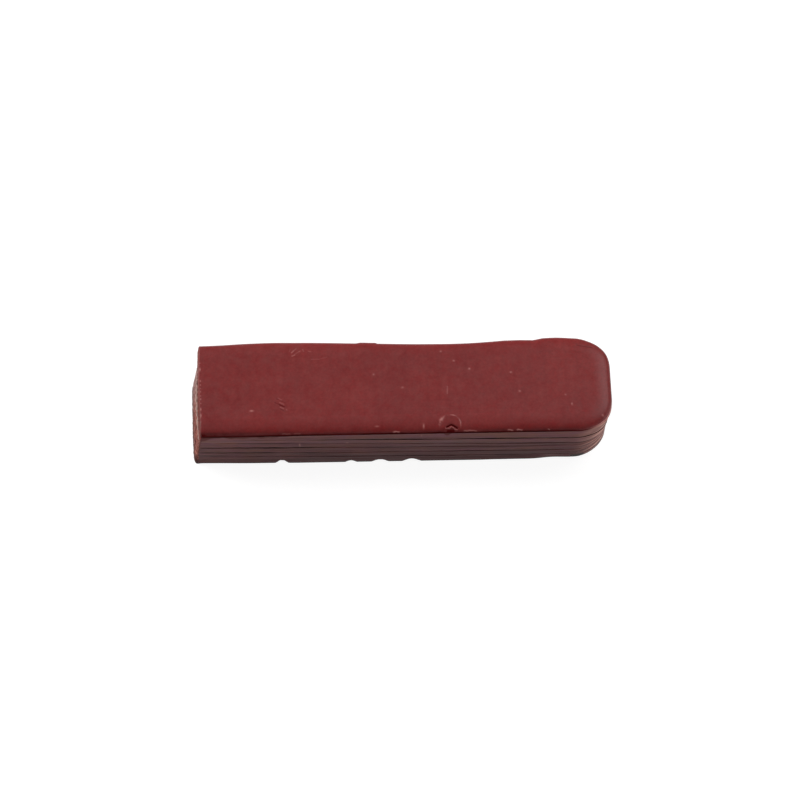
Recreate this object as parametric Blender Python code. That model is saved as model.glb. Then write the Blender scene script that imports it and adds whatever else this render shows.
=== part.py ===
"""Wood repair wax stick: a flat bar of six wax layers, rounded at the nose and cut off at the other end.

Metres and degrees, +Z up. +X runs along the bar from the cut end to the nose, and +Y to its back.
The origin is on the resting face, at the middle of the bar's box.
"""

import math

import bmesh
import bpy
from mathutils import Vector

# The whole bar
BAR_LENGTH = 0.0800  # from the cut edge at the base to the nose of the top layer
BAR_WIDTH = 0.0202  # from the front to the widest point of the back
SEAM_GAP = 0.0003  # open seam left between two layers
SEAM_ROUND = 0.0002  # worn edge of a layer where it meets a seam

# The plan outline. The back of the bar waves in and out along its length, and the front is straight.
FRONT_CORNER_RADIUS = 0.0068
BACK_CORNER_RADIUS = 0.0072
NOSE_OVERHANG = 0.0003  # how far the nose of the top layer's rim stands past the layers under it
FRONT_BULGE = 0.00025  # how far the front of the base bows out at the middle, with less of it further up
BACK_INSET_AT_CUT = 0.0008
BACK_INSET_AT_BULGE = 0.0003
BACK_INSET_AT_WAIST = 0.0011
BULGE_SHARE = 0.22  # places along the back, as shares of the way from the cut end to the nose corner
WAIST_SHARE = 0.68

# The cut end leans out towards the base and is skewed towards the back
CUT_LEAN = 10.0
CUT_SKEW = 2.0

# The layers from the base up: name, thickness at the cut end, thickness at the nose, and inset of the sides.
# The top layer's thickness is measured to its rim, and its crown rises above that.
LAYERS = (
    ("base_layer", 0.0026, 0.0012, 0.00025),
    ("lower_layer", 0.0014, 0.00175, 0.00028),
    ("lower_middle_layer", 0.0019, 0.00165, 0.00028),
    ("upper_middle_layer", 0.0021, 0.00085, 0.00022),
    ("upper_layer", 0.0014, 0.0025, 0.00028),
    ("top_layer", 0.0017, 0.00315, 0.0),
)
TOP_LAYER = LAYERS[-1][0]
BASE_LAYER = LAYERS[0][0]

# The rolled rim of the top layer, and the crown that rises from it
NOSE_UNDERCUT = 0.0005  # how far the nose is drawn in under the rim, down at the top layer's seam
CROWN_RISE = 0.0011
CROWN_SHOULDER = 0.0034  # width of the rounded shoulder between the rim and the flat of the top
RIM_GROOVE_DEPTH = 0.00025
RIM_GROOVE_HEIGHT = 0.0005

# A burst air bubble on the front shoulder of the top
BUBBLE_FROM_CUT_END = 0.0494
BUBBLE_FROM_FRONT = 0.0016
BUBBLE_DIAMETER = 0.0024
BUBBLE_DEPTH = 0.0009

# Chips out of the base's front edge: distance from the cut end, width, and height
CHIPS = (
    (0.0175, 0.0022, 0.0010),
    (0.0306, 0.0025, 0.0008),
    (0.0362, 0.0033, 0.0008),
    (0.0422, 0.0038, 0.0010),
)

# How finely the curves are cut up
FRONT_STEPS = 8
BACK_STEPS = 20
CORNER_STEPS = 10
SHOULDER_STEPS = 6
CUTTER_SEGMENTS = 16
CUTTER_RINGS = 8

# Wax colours in linear light: red where the crown faces up, greyer down the sides
CROWN_COLOUR = (0.19, 0.036, 0.035)
SIDE_COLOUR = (0.10, 0.050, 0.046)
WAX_ROUGHNESS = 0.45

HALF_LENGTH = BAR_LENGTH / 2
HALF_WIDTH = BAR_WIDTH / 2
RIM_HEIGHT = sum(layer[1] for layer in LAYERS)
LEAN = math.tan(math.radians(CUT_LEAN))
SKEW = math.tan(math.radians(CUT_SKEW))


class Level:
    """A plane across the bar, which may slope along its length."""

    def __init__(self, at_cut, at_nose):
        self.middle = (at_cut + at_nose) / 2
        self.slope = (at_nose - at_cut) / BAR_LENGTH

    def height(self, x):
        return self.middle + self.slope * x

    def raised(self, rise):
        lifted = Level(0, 0)
        lifted.middle = self.middle + rise
        lifted.slope = self.slope
        return lifted


def clear_scene():
    for old in list(bpy.data.objects):
        bpy.data.objects.remove(old)


def wax(name, colour):
    material = bpy.data.materials.new(name)
    material.use_nodes = True
    shader = material.node_tree.nodes["Principled BSDF"]
    shader.inputs["Base Color"].default_value = (*colour, 1)
    shader.inputs["Roughness"].default_value = WAX_ROUGHNESS
    shader.inputs["Metallic"].default_value = 0
    return material


def back_inset(share):
    """How far the back is drawn in at a share of the way from the cut end to the nose corner."""
    stations = (
        (0, BACK_INSET_AT_CUT),
        (BULGE_SHARE, BACK_INSET_AT_BULGE),
        (WAIST_SHARE, BACK_INSET_AT_WAIST),
        (1, 0),
    )
    for (start, start_inset), (end, end_inset) in zip(stations, stations[1:]):
        if share <= end:
            eased = (1 - math.cos(math.pi * (share - start) / (end - start))) / 2
            return start_inset + (end_inset - start_inset) * eased
    return 0


def cut_point(y, level):
    """The point of the cut plane at this y, on a level."""
    at_floor = -HALF_LENGTH + SKEW * (HALF_WIDTH - BACK_INSET_AT_CUT - y)
    x = (at_floor + LEAN * level.middle) / (1 - LEAN * level.slope)
    return Vector((x, y, level.height(x)))


def corner_arc(centre_x, centre_y, radius, first_angle, level):
    """A quarter turn of a nose corner."""
    points = []
    for step in range(CORNER_STEPS + 1):
        angle = first_angle + math.pi / 2 * step / CORNER_STEPS
        x = centre_x + radius * math.cos(angle)
        points.append(Vector((x, centre_y + radius * math.sin(angle), level.height(x))))
    return points


def ring(inset, nose_inset, level, bulge=0):
    """Points round the bar on a level: from the cut end along the front, round the nose, along the back."""
    nose = HALF_LENGTH - nose_inset
    front_centre = (nose - FRONT_CORNER_RADIUS, FRONT_CORNER_RADIUS - HALF_WIDTH)
    back_centre = (nose - BACK_CORNER_RADIUS, HALF_WIDTH - BACK_CORNER_RADIUS)

    front_start = cut_point(inset - HALF_WIDTH, level)
    points = [front_start]
    for step in range(1, FRONT_STEPS):
        share = step / FRONT_STEPS
        x = front_start.x + (front_centre[0] - front_start.x) * share
        y = front_start.y - bulge * math.sin(math.pi * share)
        points.append(Vector((x, y, level.height(x))))

    points += corner_arc(*front_centre, FRONT_CORNER_RADIUS - inset, -math.pi / 2, level)
    points += corner_arc(*back_centre, BACK_CORNER_RADIUS - inset, 0, level)

    back_end = cut_point(HALF_WIDTH - BACK_INSET_AT_CUT - inset, level)
    for step in range(1, BACK_STEPS):
        share = 1 - step / BACK_STEPS
        x = back_end.x + (back_centre[0] - back_end.x) * share
        points.append(Vector((x, HALF_WIDTH - back_inset(share) - inset, level.height(x))))
    points.append(back_end)
    return points


def loft(name, rings, foot, material, stick):
    """A closed solid through rings of points, from its foot up, as an object whose origin is at that foot."""
    shape = bmesh.new()
    loops = [[shape.verts.new(point - foot) for point in points] for points in rings]
    for lower, upper in zip(loops, loops[1:]):
        for i in range(len(lower)):
            shape.faces.new((lower[i - 1], lower[i], upper[i], upper[i - 1]))
    shape.faces.new(reversed(loops[0]))
    shape.faces.new(loops[-1])
    mesh = bpy.data.meshes.new(name)
    shape.to_mesh(mesh)
    shape.free()
    mesh.shade_smooth()
    mesh.set_sharp_from_angle(angle=math.radians(40))
    mesh.materials.append(material)

    layer = bpy.data.objects.new(name, mesh)
    bpy.context.scene.collection.objects.link(layer)
    layer.parent = stick
    layer.location = foot
    return layer


def plain_layer_rings(low, high, inset, edge_round):
    """A layer under the top: its side between two seams, with both edges worn round."""
    bulge = FRONT_BULGE * (1 - low.middle / RIM_HEIGHT)
    return [
        ring(inset + edge_round, NOSE_OVERHANG, low, bulge),
        ring(inset, NOSE_OVERHANG, low.raised(edge_round), bulge),
        ring(inset, NOSE_OVERHANG, high.raised(-edge_round), bulge),
        ring(inset + edge_round, NOSE_OVERHANG, high, bulge),
    ]


def top_layer_rings(low, rim, inset, edge_round):
    """The top layer: its side, the groove under its rim, the rolled shoulder, and the flat of the top."""
    rings = [
        ring(inset + edge_round, NOSE_UNDERCUT, low),
        ring(inset, NOSE_UNDERCUT, low.raised(edge_round)),
        ring(inset, 0, rim.raised(-RIM_GROOVE_HEIGHT)),
        ring(inset + RIM_GROOVE_DEPTH, 0, rim.raised(-RIM_GROOVE_HEIGHT / 2)),
    ]
    for step in range(SHOULDER_STEPS + 1):
        angle = math.pi / 2 * step / SHOULDER_STEPS
        rise = CROWN_RISE * math.sin(angle)
        reach = CROWN_SHOULDER * (1 - math.cos(angle))
        rings.append(ring(inset + reach, 0, rim.raised(rise)))
    return rings


def add_cutter(name, place, size, target):
    """An ellipsoid that a layer loses, hidden from the finished bar."""
    shape = bmesh.new()
    bmesh.ops.create_uvsphere(shape, u_segments=CUTTER_SEGMENTS, v_segments=CUTTER_RINGS, radius=0.5)
    bmesh.ops.scale(shape, vec=size, verts=shape.verts)
    mesh = bpy.data.meshes.new(name)
    shape.to_mesh(mesh)
    shape.free()
    cutter = bpy.data.objects.new(name, mesh)
    bpy.context.scene.collection.objects.link(cutter)
    cutter.location = place
    cutter.hide_render = True
    cutter.display_type = "WIRE"
    cut = target.modifiers.new(name, "BOOLEAN")
    cut.operation = "DIFFERENCE"
    cut.object = cutter


def build_layers(stick):
    """Each layer from the base up, in its own object. Returns them by name, and the level of the rim."""
    layers = {}
    cut_height = nose_height = 0
    for name, cut_thickness, nose_thickness, inset in LAYERS:
        gap = SEAM_GAP if name != BASE_LAYER else 0
        low = Level(cut_height, nose_height).raised(gap)
        cut_height += cut_thickness
        nose_height += nose_thickness
        high = Level(cut_height, nose_height)

        wall = min(cut_thickness, nose_thickness) - gap
        edge_round = min(SEAM_ROUND, wall / 3)
        is_top = name == TOP_LAYER
        layer_rings = top_layer_rings if is_top else plain_layer_rings
        rings = layer_rings(low, high, inset, edge_round)

        foot = Vector((0, 0, low.middle))
        colour = CROWN_COLOUR if is_top else SIDE_COLOUR
        layers[name] = loft(name, rings, foot, wax(name + "_wax", colour), stick)
    return layers, high


def main():
    clear_scene()
    stick = bpy.data.objects.new("wax_stick", None)
    bpy.context.scene.collection.objects.link(stick)
    layers, rim = build_layers(stick)

    bubble_x = BUBBLE_FROM_CUT_END - HALF_LENGTH
    reach = max(0, 1 - BUBBLE_FROM_FRONT / CROWN_SHOULDER)
    shoulder_rise = CROWN_RISE * math.sqrt(1 - reach**2)
    bubble_place = (bubble_x, BUBBLE_FROM_FRONT - HALF_WIDTH, rim.height(bubble_x) + shoulder_rise)
    bubble_size = (BUBBLE_DIAMETER, BUBBLE_DIAMETER, 2 * BUBBLE_DEPTH)
    add_cutter("burst_bubble_cutter", bubble_place, bubble_size, layers[TOP_LAYER])

    base_inset = LAYERS[0][3]
    for number, (from_cut_end, width, height) in enumerate(CHIPS, start=1):
        chip_place = (from_cut_end - HALF_LENGTH, base_inset - HALF_WIDTH, 0)
        add_cutter(f"chip_cutter_{number}", chip_place, (width, 2 * height, 2 * height), layers[BASE_LAYER])


main()
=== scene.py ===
"""The wood repair wax stick, dressed over its frame: six cast layers of mahogany wax under a worn red crown.

Metres. +X runs along the bar from the cut end to the nose, +Y to its back, and +Z up.
Places and sizes of single marks are in millimetres on the same axes.
"""

import math

import bpy
import numpy as np
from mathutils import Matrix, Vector, noise


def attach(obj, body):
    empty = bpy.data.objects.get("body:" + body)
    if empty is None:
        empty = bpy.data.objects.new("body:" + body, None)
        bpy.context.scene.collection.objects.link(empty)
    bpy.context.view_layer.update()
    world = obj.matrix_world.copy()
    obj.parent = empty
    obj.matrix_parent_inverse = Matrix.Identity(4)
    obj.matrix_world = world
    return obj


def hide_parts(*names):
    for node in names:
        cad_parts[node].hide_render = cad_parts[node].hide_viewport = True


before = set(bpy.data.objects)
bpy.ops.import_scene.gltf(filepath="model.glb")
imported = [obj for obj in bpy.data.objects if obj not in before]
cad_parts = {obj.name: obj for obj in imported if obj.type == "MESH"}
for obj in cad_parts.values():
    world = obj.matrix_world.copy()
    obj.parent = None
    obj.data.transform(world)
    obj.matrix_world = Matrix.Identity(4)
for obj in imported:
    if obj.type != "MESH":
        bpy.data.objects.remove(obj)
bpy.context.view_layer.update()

MM = 0.001

# The bar's outline, the same values as in the part's source
BAR_LENGTH = 0.0800
BAR_WIDTH = 0.0202
SEAM_GAP = 0.0003
FRONT_CORNER_RADIUS = 0.0068
BACK_CORNER_RADIUS = 0.0072
NOSE_OVERHANG = 0.0003
FRONT_BULGE = 0.00025
BACK_STATIONS = ((0, 0.0008), (0.22, 0.0003), (0.68, 0.0011), (1, 0))
CUT_LEAN = math.tan(math.radians(10))
CUT_SKEW = math.tan(math.radians(2))
LAYERS = (
    ("base_layer", 0.0026, 0.0012, 0.00025),
    ("lower_layer", 0.0014, 0.00175, 0.00028),
    ("lower_middle_layer", 0.0019, 0.00165, 0.00028),
    ("upper_middle_layer", 0.0021, 0.00085, 0.00022),
    ("upper_layer", 0.0014, 0.0025, 0.00028),
    ("top_layer", 0.0017, 0.00315, 0.0),
)
CROWN = len(LAYERS) - 1
CROWN_SEAM = CROWN - 1
NOSE_UNDERCUT = 0.0005
CROWN_RISE = 0.0011
CROWN_SHOULDER = 0.0034
RIM_HEIGHT = 0.0111
HALF_LENGTH = BAR_LENGTH / 2
HALF_WIDTH = BAR_WIDTH / 2
BOX = np.array((HALF_LENGTH, HALF_WIDTH, 1)) - 0.00001  # nothing stands out further than this

# How many points go along each stretch of a ring round the bar, about 0.19 mm apart
FRONT_STEPS = 386
CORNER_STEPS = 56
NOSE_STEPS = 35
BACK_STEPS = 380
CUT_STEPS = 107
SIDE_STEPS = FRONT_STEPS + 2 * CORNER_STEPS + NOSE_STEPS + BACK_STEPS
AROUND = SIDE_STEPS + CUT_STEPS
LONG_EDGE_STEPS = (SIDE_STEPS - CUT_STEPS) // 2
STRAIGHT_STEPS = 20  # this many points on both sides of a corner of the cut lie on straight lines

# What is rubbed into or worn off the wax, and the shade painted on it, kept on each piece's points for its
# materials to read
PAINTS = ("pale", "dark", "smear", "skin")
PALE, DARK, _, SKIN = range(len(PAINTS))


def eased(low, high, value):
    """0 below the low end, 1 above the high end, and a smooth rise between."""
    share = np.clip((value - low) / (high - low), 0, 1)
    return share * share * (3 - 2 * share)


def near(distance, reach):
    """1 at no distance, and fading out smoothly to about twice the reach."""
    return np.exp(-(distance / reach) ** 2)


def read_off(table, places):
    """Values from a table of places and values, with straight lines between its rows."""
    return np.interp(places, *zip(*table))


EVEN = 9000  # lumps of 9 m, which leave the wax even in their direction


def uneven(points, size, seed):
    """Chance unevenness at each point, about -0.5 to 0.5, in lumps of this size in millimetres."""
    shift = Vector((seed * 7.31, seed * 3.77, seed * 5.13))
    scaled = np.asarray(points) / (np.asarray(size) * MM)
    return np.array([noise.noise(Vector(point) + shift) for point in scaled])


def add_paint(paint, kind, amount):
    """Adds one of the paints at each point, where there isn't as much of it yet."""
    paint[:, kind] = np.maximum(paint[:, kind], amount)


def back_inset(share):
    """How far the waving back is drawn in, at shares of the way from the cut end to the nose corner."""
    inset = np.zeros(len(share))
    for (start, start_inset), (end, end_inset) in zip(BACK_STATIONS, BACK_STATIONS[1:]):
        here = (share >= start) & (share <= end)
        turn = (1 - np.cos(np.pi * (share[here] - start) / (end - start))) / 2
        inset[here] = start_inset + (end_inset - start_inset) * turn
    return inset


def cut_foot(y):
    """Where the cut meets the table."""
    return -HALF_LENGTH + CUT_SKEW * (HALF_WIDTH - BACK_STATIONS[0][1] - y)


def cut_x(y, middle, slope):
    """Where the cut meets a sloping level."""
    return (cut_foot(y) + CUT_LEAN * middle) / (1 - CUT_LEAN * slope)


def from_cut(points):
    """How far points lie from the plane of the cut, along the bar, in millimetres."""
    return (points[:, 0] - CUT_LEAN * points[:, 2] - cut_foot(points[:, 1])) / MM


def ring(inset, nose_inset, middle, slope, bulge=0.0):
    """Points round the bar on a sloping level: along the front, the nose, the back and the cut."""
    nose = HALF_LENGTH - nose_inset
    front_y = inset - HALF_WIDTH
    back_y = HALF_WIDTH - BACK_STATIONS[0][1] - inset
    front_turn = nose - FRONT_CORNER_RADIUS
    back_turn = nose - BACK_CORNER_RADIUS
    front_x = cut_x(front_y, middle, slope)
    back_x = cut_x(back_y, middle, slope)
    share = np.arange(FRONT_STEPS) / FRONT_STEPS
    xs = [front_x + (front_turn - front_x) * share]
    ys = [front_y - bulge * np.sin(np.pi * share)]
    turn = np.pi / 2 * np.arange(CORNER_STEPS) / CORNER_STEPS
    xs.append(front_turn + (FRONT_CORNER_RADIUS - inset) * np.sin(turn))
    ys.append(FRONT_CORNER_RADIUS - HALF_WIDTH - (FRONT_CORNER_RADIUS - inset) * np.cos(turn))
    share = np.arange(NOSE_STEPS) / NOSE_STEPS
    nose_width = BAR_WIDTH - FRONT_CORNER_RADIUS - BACK_CORNER_RADIUS
    xs.append(np.full(NOSE_STEPS, nose - inset))
    ys.append(FRONT_CORNER_RADIUS - HALF_WIDTH + nose_width * share)
    xs.append(back_turn + (BACK_CORNER_RADIUS - inset) * np.cos(turn))
    ys.append(HALF_WIDTH - BACK_CORNER_RADIUS + (BACK_CORNER_RADIUS - inset) * np.sin(turn))
    share = 1 - np.arange(BACK_STEPS) / BACK_STEPS
    xs.append(back_x + (back_turn - back_x) * share)
    ys.append(HALF_WIDTH - back_inset(share) - inset)
    share = np.arange(CUT_STEPS) / CUT_STEPS
    xs.append(back_x + (front_x - back_x) * share)
    ys.append(back_y + (front_y - back_y) * share)
    x = np.concatenate(xs)
    return settle_back(np.column_stack((x, np.concatenate(ys), middle + slope * x)))


# Chance steps of the back edge: place along the bar, and how far out it stands there
BACK_EDGE = (
    (-38, 0.22), (-30, 0.28), (-25, 0.22), (-20, 0.12), (-12, 0.08), (10, 0.12), (15, 0.15), (20, 0.20),
    (23, 0.04), (25.6, -0.22), (27.6, 0.08), (30, 0.05), (33.0, -0.20), (36.0, -0.15), (38.3, 0.02),
    (39.3, 0.22),
)


def settle_back(points):
    """Gives the back edge its step before the nose and its flatter corner, fading towards the table."""
    x, y, z = points.T / MM
    moved = points.copy()
    shown = eased(1, 6, y) * (0.4 + 0.6 * eased(5, 10.5, z))
    moved[:, 1] += MM * read_off(BACK_EDGE, x) * shown
    return moved


def round_corner(points, corner, reach):
    """Wears one upright corner of the cut to an arc that begins this far from it on both sides."""
    moved = points.copy()
    here = points[corner, :2]
    before = points[corner - STRAIGHT_STEPS, :2] - here
    after = points[(corner + STRAIGHT_STEPS) % AROUND, :2] - here
    before = before / np.hypot(*before)
    after = after / np.hypot(*after)
    steps = (np.arange(AROUND) - corner + AROUND // 2) % AROUND - AROUND // 2
    distance = np.hypot(points[:, 0] - here[0], points[:, 1] - here[1])
    close = (distance < reach) & (np.abs(steps) < 2 * STRAIGHT_STEPS)
    turn = np.pi / 4 * (1 + np.sign(steps[close]) * distance[close] / reach)
    spoke = np.outer(np.cos(turn), after) + np.outer(np.sin(turn), before)
    moved[close, :2] = here + reach * (before + after - spoke)
    return moved


def round_cut(points, front_reach, back_reach):
    """Wears both upright corners of the cut, by reaches in millimetres."""
    return round_corner(round_corner(points, 0, front_reach * MM), SIDE_STEPS, back_reach * MM)


def push_sides(points, amount):
    """Moves the sides of a ring outwards by an amount in millimetres at each point. The cut end stays."""
    along = np.roll(points, -1, axis=0) - np.roll(points, 1, axis=0)
    out = np.column_stack((along[:, 1], -along[:, 0]))
    out /= np.linalg.norm(out, axis=1)[:, None]
    on_side = np.arange(AROUND) <= SIDE_STEPS
    moved = points.copy()
    moved[:, :2] += MM * out * (amount * on_side)[:, None]
    return moved


CUT_BULGE = 0.12


def crumble_cut(points, depth):
    """Bulges the cut end a little and breaks grains out of it, about this deep, most towards the front."""
    cut = points[SIDE_STEPS:]
    inward = np.array((1, CUT_SKEW, -CUT_LEAN))
    inward /= np.linalg.norm(inward)
    grains = 0.8 * uneven(cut, (1.2, 1.0, 0.9), 11) + 0.7 * uneven(cut, (0.45, 0.45, 0.45), 12)
    share = np.arange(CUT_STEPS) / CUT_STEPS
    arch = np.sin(np.pi * share)
    towards_front = 0.45 + 0.55 * eased(0.25, 0.8, share)
    bite = depth * towards_front * arch ** 0.3 * np.clip(0.5 + grains, 0, 1.2)
    moved = points.copy()
    moved[SIDE_STEPS:] += MM * (bite - CUT_BULGE * arch)[:, None] * inward
    return moved


def edit_only(mesh, kind, chosen):
    """Goes to edit mode with only these edges or faces selected."""
    bpy.ops.object.mode_set(mode="EDIT")
    bpy.ops.mesh.select_mode(type=kind)
    bpy.ops.mesh.select_all(action="DESELECT")
    bpy.ops.object.mode_set(mode="OBJECT")
    items = mesh.edges if kind == "EDGE" else mesh.polygons
    items.foreach_set("select", chosen)
    bpy.ops.object.mode_set(mode="EDIT")


def read(items, what, width, kind=float):
    """One value of every point, edge, corner or face of a mesh, as rows of this width."""
    values = np.empty(len(items) * width, dtype=kind)
    items.foreach_get(what, values)
    return values.reshape(-1, width)


def wall(name, rings, paints):
    """A cylinder cut into a row of points for each ring, and every row laid on its ring with its paints."""
    rows = len(rings)
    bpy.ops.object.select_all(action="DESELECT")
    bpy.ops.mesh.primitive_cylinder_add(vertices=AROUND, radius=1, depth=1, end_fill_type="NOTHING")
    piece = bpy.context.object
    piece.name = name
    mesh = piece.data
    mesh.name = name
    points = read(mesh.vertices, "co", 3)
    ends = read(mesh.edges, "vertices", 2, int)
    upright = np.abs(points[ends[:, 0], 2] - points[ends[:, 1], 2]) > 0.5
    edit_only(mesh, "EDGE", upright)
    bpy.ops.mesh.subdivide(number_cuts=rows - 2)
    bpy.ops.object.mode_set(mode="OBJECT")
    points = read(mesh.vertices, "co", 3)
    row = np.rint((points[:, 2] + 0.5) * (rows - 1)).astype(int)
    turn = np.arctan2(points[:, 1], points[:, 0]) / (2 * np.pi)
    place = np.rint(turn * AROUND).astype(int) % AROUND
    mesh.vertices.foreach_set("co", np.clip(rings, -BOX, BOX)[row, place].ravel())
    for number, paint in enumerate(PAINTS):
        mesh.attributes.new(paint, "FLOAT", "POINT")
        mesh.attributes[paint].data.foreach_set("value", np.array(paints)[row, place, number])
    mesh.update()
    return piece, row, place


def close_end(piece, row, end_row):
    """Closes one end of a wall with a flat face that hides inside a seam or lies on the table."""
    mesh = piece.data
    ends = read(mesh.edges, "vertices", 2, int)
    edit_only(mesh, "EDGE", (row[ends] == end_row).all(axis=1))
    bpy.ops.mesh.edge_face_add()
    bpy.ops.object.mode_set(mode="OBJECT")


def close_with_grid(piece, row, place, end_row):
    """Closes one end of a wall with an even grid of faces, so that its surface can be worked."""
    mesh = piece.data
    ends = read(mesh.edges, "vertices", 2, int)
    on_rim = (row[ends] == end_row).all(axis=1)
    first = np.minimum(place[ends[:, 0]], place[ends[:, 1]])
    first[np.abs(place[ends[:, 0]] - place[ends[:, 1]]) > 1] = AROUND - 1
    on_front = first < LONG_EDGE_STEPS
    on_back = (first >= LONG_EDGE_STEPS + CUT_STEPS) & (first < SIDE_STEPS)
    edit_only(mesh, "EDGE", on_rim & (on_front | on_back))
    bpy.ops.mesh.fill_grid()
    bpy.ops.object.mode_set(mode="OBJECT")


def faces_outwards():
    """Turns all faces outwards, and smooths all edges but the sharp ones."""
    bpy.ops.object.mode_set(mode="EDIT")
    bpy.ops.mesh.select_all(action="SELECT")
    bpy.ops.mesh.normals_make_consistent(inside=False)
    bpy.ops.object.mode_set(mode="OBJECT")
    bpy.ops.object.shade_smooth_by_angle(angle=math.radians(50))


def levels():
    """The plane under each layer and the plane over it, as a height at the middle of the bar and a slope."""
    planes = []
    at_cut = 0.0
    at_nose = 0.0
    for _, cut_thickness, nose_thickness, inset in LAYERS:
        under = SEAM_GAP if planes else 0.0
        low = ((at_cut + at_nose) / 2 + under, (at_nose - at_cut) / BAR_LENGTH)
        at_cut += cut_thickness
        at_nose += nose_thickness
        high = ((at_cut + at_nose) / 2, (at_nose - at_cut) / BAR_LENGTH)
        planes.append((inset, low, high))
    return planes


# Of each seam, from the lowest up: how far it stands open where it shows, how dark it is painted with shade
# and dirt, and how far its edges are worn back, as a share of WORN_EDGE
SEAM_OPENINGS = (0.03, 0.06, 0.07, 0.03, 0.32)
SEAM_SHADE_AND_DIRT = (0.16, 0.28, 0.55, 0.16, 1.0)
SEAM_WEAR = (0.4, 0.8, 1.0, 0.4, 1.0)
# How far each seam droops at the front corner of the nose, and how much more painted shade it has there,
# under the overhang above it
SEAM_DROOP = (0.2, 0.3, 0.5, 0.7, 0.75)
NOSE_SHADE = (0, 0, 0, 0.5, 1)
# Where the seam under the crown gapes and where it is nearly shut: place along the bar, share of its opening
CROWN_GAPES = (
    (-24, 0.1), (-18, 0.25), (-11, 0.65), (-6, 1.1), (-3, 1.3), (3, 1.0), (8, 0.55), (12.5, 0.3),
    (14.5, 0.65), (17.5, 1.2), (20, 1.35), (24, 1.2), (27.5, 0.9), (31, 1.6), (36, 1.6),
)
# The worn edge of a layer at its seams: how far in from the edge, how far the side draws back there, and how
# dark the seam's painted shade and dirt make it
WORN_EDGE = ((0.0, 0.05, 1.0), (0.03, 0.02, 0.6), (0.08, 0.01, 0.2), (0.14, 0.0, 0.0))
# Shares of the way up a side where it has rows of points, besides the worn edges
BASE_SHARES = (0.09, 0.13, 0.18, 0.24, 0.31, 0.4, 0.5, 0.65, 0.8)
SIDE_SHARES = (0.2, 0.35, 0.5, 0.65, 0.8)
CROWN_SHARES = (0.2, 0.4, 0.6, 0.8, 0.92)
# Stretches along the bar where the seams change: towards its cut third, and just before the cut
CUT_THIRD = (-26, -14)
BEFORE_CUT = (-38.5, -36.5)


def seam_shows(points, seam):
    """The lower seams run out round the nose, and the one under the crown towards the cut end."""
    x, y = points.T[:2] / MM
    if seam == CROWN_SEAM:
        return read_off(CROWN_GAPES, x) * (1 - 0.7 * eased(-6.6, -1, y))
    if seam == CROWN_SEAM - 1:
        return 1.0
    middle = 0.75 if seam == CROWN_SEAM - 2 else 0.0
    return (1 - 0.8 * eased(28, 36, x)) * (1 - middle * eased(-12, 8, x))


def seam_closing(points, seam):
    """How far each of a seam's two edges comes in over the gap, in metres, so that it gapes unevenly."""
    x = points[:, 0] / MM
    chance = 0.4 if seam == CROWN_SEAM else 1.6
    opening = SEAM_OPENINGS[seam] * (1 + chance * uneven(points, (4, 4, EVEN), 20 + seam))
    opening *= seam_shows(points, seam)
    if seam != CROWN_SEAM:
        opening *= 2 - eased(*CUT_THIRD, x)
    opening *= 0.35 + 0.65 * eased(*BEFORE_CUT, x)
    return (SEAM_GAP - MM * np.clip(opening, 0.02, 0.4)) / 2


def seam_wave(points, seam):
    """How far a seam wanders up and down, in metres, and droops at the front corner of the nose."""
    x, y = points.T[:2] / MM
    corner = eased(33, 39.5, x) * (1 - eased(-6.5, 9, y))
    wave = 0.12 * uneven(points, (9, 9, EVEN), 60 + seam) + 0.05 * uneven(points, (2, 2, EVEN), 65)
    return MM * (wave - SEAM_DROOP[seam] * corner)


def seam_shade_and_dirt(points, seam):
    """How dark a seam is painted along the bar, with the shade of its recess and dirt in it, and with painted
    shade under the overhang at the front corner of the nose.
    """
    x, y = points.T[:2] / MM
    chance = 0.4 if seam == CROWN_SEAM else 2.0
    shade_and_dirt = SEAM_SHADE_AND_DIRT[seam] * (0.9 + chance * uneven(points, (5, 5, EVEN), 70 + seam))
    shade_and_dirt *= seam_shows(points, seam) * (2.5 - 1.5 * eased(*CUT_THIRD, x))
    # Painted shade under the overhang at the front corner of the nose
    shade_and_dirt += NOSE_SHADE[seam] * eased(31, 34, x) * (1 - eased(-4, 1, y))
    return np.clip(shade_and_dirt, 0, 1) * (0.2 + 0.8 * eased(*BEFORE_CUT, x))


def side_rows(shares):
    """Shares of the way up a side with a step off from each, closest together at the two worn edges."""
    rows = [(0.0, step * MM, back, shade_and_dirt) for step, back, shade_and_dirt in WORN_EDGE]
    rows += [(share, 0.0, 0.0, 0.0) for share in shares]
    rows += [(1.0, -step * MM, back, shade_and_dirt) for step, back, shade_and_dirt in reversed(WORN_EDGE)]
    return rows


FRONT_SIDE = -8  # points further to the front than this lie on the front side
# Chips out of the base's front edge: place along the bar, width, height, and depth
CHIPS = (
    (-22.5, 2.9, 1.0, 0.70),
    (-9.4, 3.2, 0.8, 0.42),
    (-3.8, 4.2, 0.8, 0.55),
    (2.2, 4.8, 1.0, 0.60),
    (28.6, 8.0, 1.4, 0.18),
)
# Pale ticks on the front side: place along the bar, height, half width, half height, strength
TICKS = ((-18.9, 6.8, 0.12, 0.55, 0.5), (-10.0, 7.4, 0.25, 0.15, 0.45), (4.0, 10.2, 0.1, 0.4, 0.25))
# Red wax of the crown on the front side: how far the knife dragged it from the cut at each height, and how
# far it ran down from the rim at each place along the bar
DRAGGED_RED = ((0, 0.2), (5, 0.3), (8, 0.35), (9.3, 0.7), (10, 1.2))
RUN_RED = ((-37.5, 1.8), (-36, 1.3), (-34, 0.9), (-29, 0.8), (-25, 0.6), (-22, 0.3), (-20, 0.0))


def chip_base(points):
    """Scoops the chips out of the base's front edge."""
    x, y, z = points.T / MM
    moved = points.copy()
    for place, width, height, depth in CHIPS:
        along = np.clip((x - place) / (width / 2), -1, 1)
        inside = np.clip(np.cos(np.pi / 2 * along) ** 2 - (z / height) ** 2, 0, 1)
        moved[:, 1] += (y < FRONT_SIDE) * depth * MM * inside
    return moved


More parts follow.
